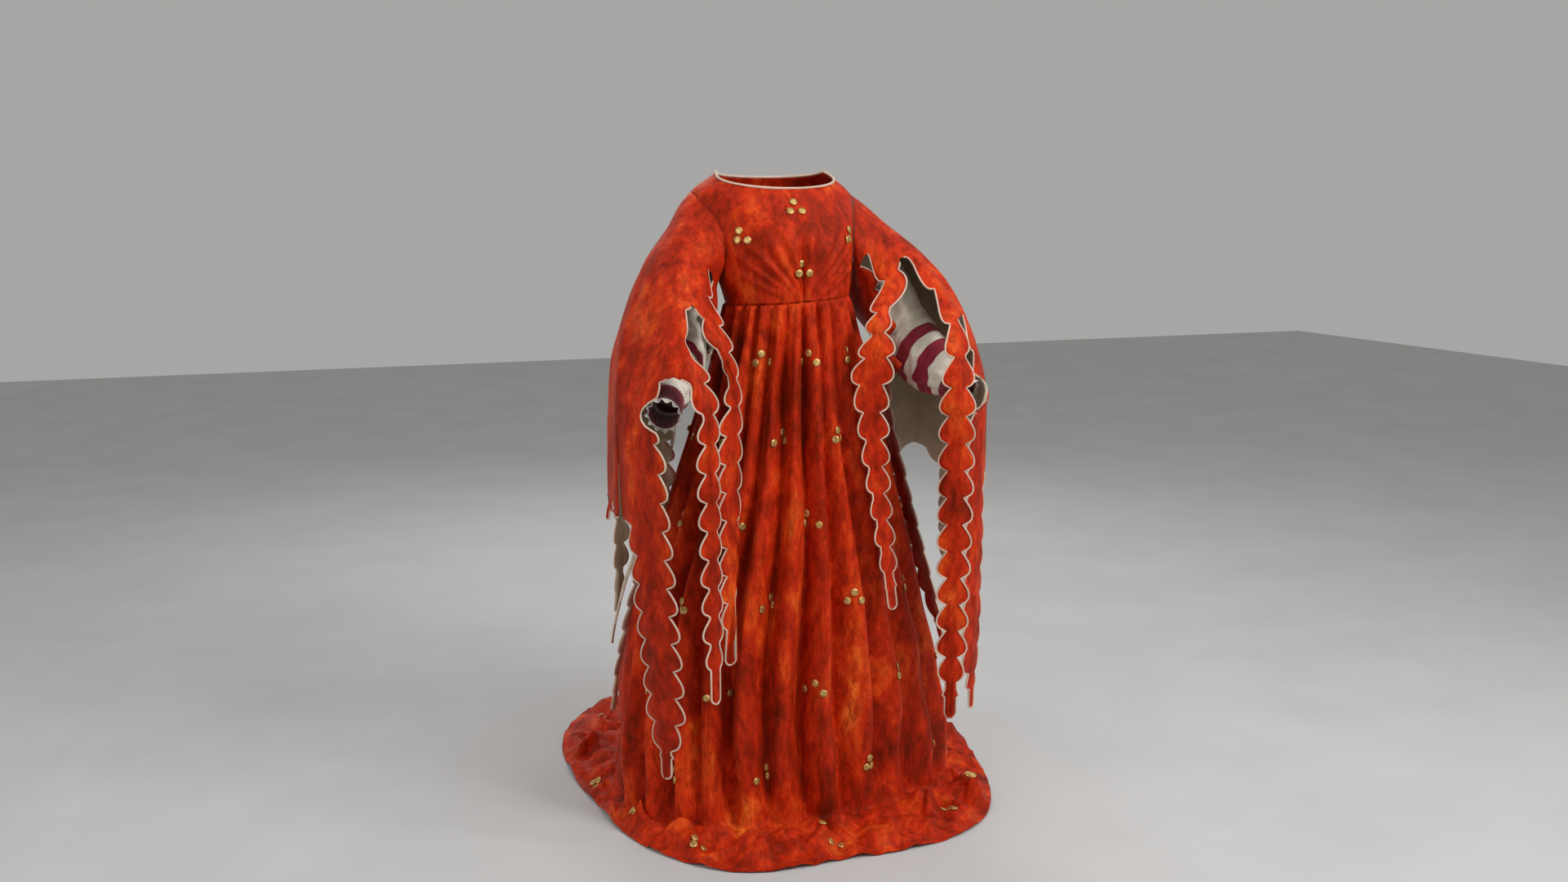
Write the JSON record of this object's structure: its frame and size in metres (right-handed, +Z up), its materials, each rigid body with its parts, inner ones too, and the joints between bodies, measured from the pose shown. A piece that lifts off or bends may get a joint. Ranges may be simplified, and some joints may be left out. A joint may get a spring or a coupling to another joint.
{
  "type": "stage gown",
  "caption": "Long fitted velvet gown with a gathered skirt and a train all round, and bell sleeves slashed into dagged streamers over striped undersleeves.",
  "frame": {"origin": "the middle of the neck opening, level with the neck's highest points on the shoulders", "axes": "+Z up, -Y the way the wearer faces, +X towards the wearer's left hand"},
  "size_m": [1.0018, 1.176, 1.4555],
  "materials": {
    "velvet": "crushed velvet",
    "lining": "matte",
    "cotton": "matte",
    "striped_cotton": "matte, in wide stripes",
    "crimson": "matte",
    "lace": "matte",
    "binding": "matte"
  },
  "bodies": {
    "root": {"bodice_front_right": "velvet", "bodice_back_right": "velvet", "bodice_front_left": "velvet", "bodice_back_left": "velvet", "neck_binding": "binding", "skirt_back_right": "velvet", "skirt_side_right": "velvet", "skirt_front": "velvet", "skirt_side_left": "velvet", "skirt_back_left": "velvet", "sleeve_right_front": "velvet", "sleeve_right_back": "velvet", "sleeve_lining_right": "lining", "undersleeve_right_upper": "cotton", "undersleeve_right_lower": "striped_cotton", "cuff_right": "crimson", "cuff_frill_right": "lace", "sleeve_left_front": "velvet", "sleeve_left_back": "velvet", "sleeve_lining_left": "lining", "undersleeve_left_upper": "cotton", "undersleeve_left_lower": "striped_cotton", "cuff_left": "crimson", "cuff_frill_left": "lace"}
  },
  "joints": []
}
